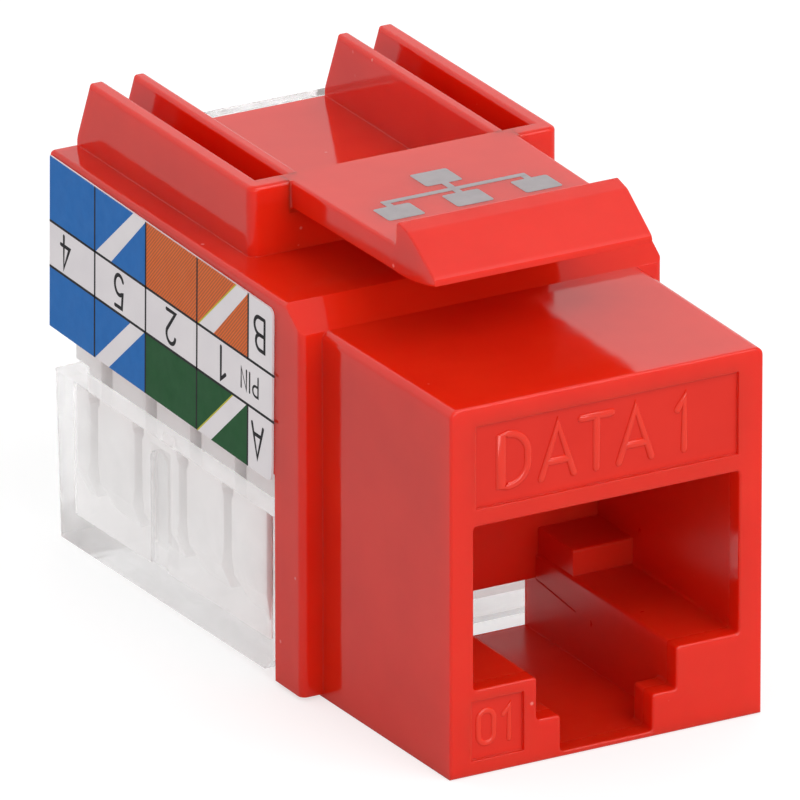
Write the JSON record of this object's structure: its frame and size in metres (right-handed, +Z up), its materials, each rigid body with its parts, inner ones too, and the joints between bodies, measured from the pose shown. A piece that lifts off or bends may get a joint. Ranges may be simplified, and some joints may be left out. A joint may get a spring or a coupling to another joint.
{
  "type": "keystone network jack",
  "caption": "Red snap-in keystone jack with a modular plug port, a sprung latch, insulation-displacement wire slots and a clear dust cap.",
  "frame": {"origin": "bottom centre of the whole part's box, on the mirror plane between its two sides", "axes": "+Z up with the latch on top, -Y out of the front where the plug goes in, +X to the right seen from the front"},
  "size_m": [0.0172, 0.0322, 0.021],
  "materials": {
    "red_abs": "moulded gloss",
    "insert_plastic": "moulded",
    "contact_wire": "gold-plated",
    "board_green": "solder mask",
    "white_pc": "moulded",
    "blade_tin": "tin-plated",
    "clear_pc": "clear moulded",
    "label_film": "printed film"
  },
  "bodies": {
    "jack": {"housing": "red_abs", "contact_carrier": "insert_plastic", "contact_leads": "contact_wire", "circuit_board": "board_green", "idc_block": "white_pc", "idc_contact_1": "blade_tin", "idc_contact_2": "blade_tin", "idc_contact_3": "blade_tin", "idc_contact_4": "blade_tin", "idc_contact_5": "blade_tin", "idc_contact_6": "blade_tin", "idc_contact_7": "blade_tin", "idc_contact_8": "blade_tin", "label_left": "label_film", "label_right": "label_film"},
    "latch": {"latch_arm": "red_abs"},
    "cap": {"dust_cap": "clear_pc"},
    "wire_1": {"spring_contact_1": "contact_wire"},
    "wire_2": {"spring_contact_2": "contact_wire"},
    "wire_3": {"spring_contact_3": "contact_wire"},
    "wire_4": {"spring_contact_4": "contact_wire"},
    "wire_5": {"spring_contact_5": "contact_wire"},
    "wire_6": {"spring_contact_6": "contact_wire"},
    "wire_7": {"spring_contact_7": "contact_wire"},
    "wire_8": {"spring_contact_8": "contact_wire"}
  },
  "joints": [
    {"name": "latch_flex", "type": "hinge", "parent": "jack", "child": "latch", "pos_m": [0, 0.0008, 0.01878], "axis": [1, 0, 0], "range_deg": [0, 9], "stiffness_Nm_per_rad": 0.7},
    {"name": "cap_slide", "type": "slide", "parent": "jack", "child": "cap", "axis": [0, 0, -1], "range_m": [0, 0.009]},
    {"name": "wire_1_flex", "type": "hinge", "parent": "jack", "child": "wire_1", "pos_m": [-0.00357, -0.0134, 0.01175], "axis": [1, 0, 0], "range_deg": [0, 8], "stiffness_Nm_per_rad": 0.04},
    {"name": "wire_2_flex", "type": "hinge", "parent": "jack", "child": "wire_2", "pos_m": [-0.00255, -0.0134, 0.01175], "axis": [1, 0, 0], "range_deg": [0, 8], "stiffness_Nm_per_rad": 0.04},
    {"name": "wire_3_flex", "type": "hinge", "parent": "jack", "child": "wire_3", "pos_m": [-0.00153, -0.0134, 0.01175], "axis": [1, 0, 0], "range_deg": [0, 8], "stiffness_Nm_per_rad": 0.04},
    {"name": "wire_4_flex", "type": "hinge", "parent": "jack", "child": "wire_4", "pos_m": [-0.00051, -0.0134, 0.01175], "axis": [1, 0, 0], "range_deg": [0, 8], "stiffness_Nm_per_rad": 0.04},
    {"name": "wire_5_flex", "type": "hinge", "parent": "jack", "child": "wire_5", "pos_m": [0.00051, -0.0134, 0.01175], "axis": [1, 0, 0], "range_deg": [0, 8], "stiffness_Nm_per_rad": 0.04},
    {"name": "wire_6_flex", "type": "hinge", "parent": "jack", "child": "wire_6", "pos_m": [0.00153, -0.0134, 0.01175], "axis": [1, 0, 0], "range_deg": [0, 8], "stiffness_Nm_per_rad": 0.04},
    {"name": "wire_7_flex", "type": "hinge", "parent": "jack", "child": "wire_7", "pos_m": [0.00255, -0.0134, 0.01175], "axis": [1, 0, 0], "range_deg": [0, 8], "stiffness_Nm_per_rad": 0.04},
    {"name": "wire_8_flex", "type": "hinge", "parent": "jack", "child": "wire_8", "pos_m": [0.00357, -0.0134, 0.01175], "axis": [1, 0, 0], "range_deg": [0, 8], "stiffness_Nm_per_rad": 0.04}
  ]
}
